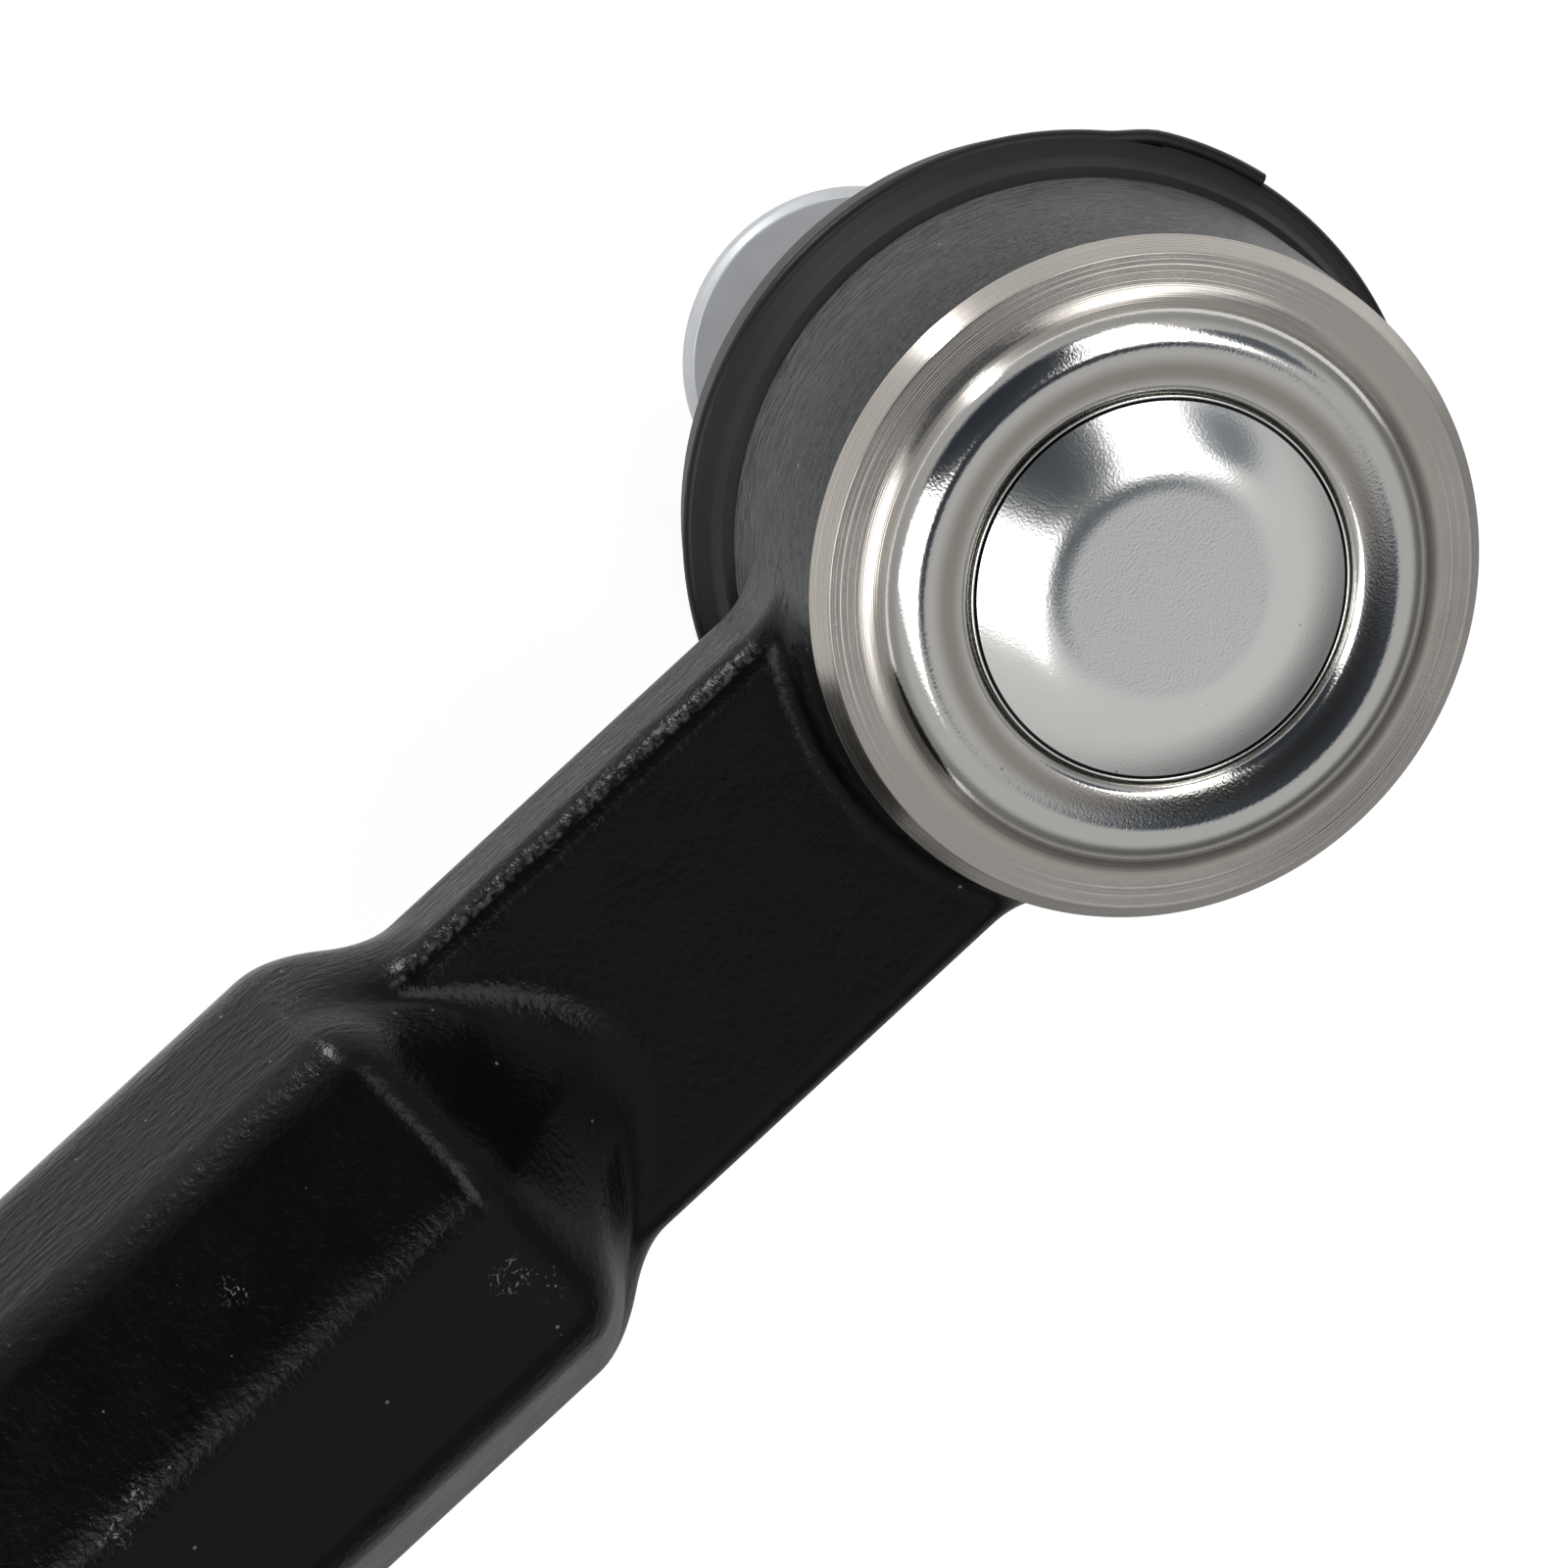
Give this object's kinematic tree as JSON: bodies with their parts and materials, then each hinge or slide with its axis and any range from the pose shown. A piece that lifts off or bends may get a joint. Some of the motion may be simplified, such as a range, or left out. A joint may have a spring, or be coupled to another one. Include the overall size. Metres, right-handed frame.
{
  "type": "tie rod end",
  "caption": "Ball joint end of a steering tie rod: forged cup with a rolled-in cover, flat web, tapped eight-sided shank, tapered ball stud, rubber boot and locking flange nut.",
  "frame": {"origin": "centre of the ball, where the stud's axis crosses the shank's axis", "axes": "+Z out through the cover plate, with the stud hanging along -Z; the shank runs along -X; +Y completes the right-handed frame"},
  "size_m": [0.1347, 0.0454, 0.0796],
  "materials": {
    "painted_forging": "satin black paint over forged steel, turned bare on the cup's face",
    "pressed_steel": "smooth pressed steel, burnished",
    "spring_steel": "oiled spring steel",
    "seat_plastic": "natural acetal",
    "stud_steel": "ground and phosphated steel",
    "boot_rubber": "moulded matt black rubber",
    "ring_wire": "blackened spring wire",
    "zinc_steel": "zinc plated",
    "nylon": "natural nylon"
  },
  "bodies": {
    "housing": {"housing": "painted_forging", "cover_plate": "pressed_steel", "disc_spring": "spring_steel", "pressure_seat": "seat_plastic", "lower_seat": "seat_plastic", "dust_boot": "boot_rubber", "boot_ring_large": "ring_wire"},
    "boot_neck": {"boot_ring_small": "ring_wire"},
    "stud": {"ball_stud": "stud_steel", "flange_nut": "zinc_steel", "nut_insert": "nylon"}
  },
  "joints": [
    {"name": "stud_tilt", "type": "hinge", "parent": "housing", "child": "boot_neck", "pos_m": [0, 0, 0], "axis": [0, 1, 0], "range_deg": [-25, 25], "deforming": ["dust_boot"]},
    {"name": "stud_spin", "type": "hinge", "parent": "boot_neck", "child": "stud", "pos_m": [0, 0, 0], "axis": [0, 0, 1], "continuous": true}
  ]
}
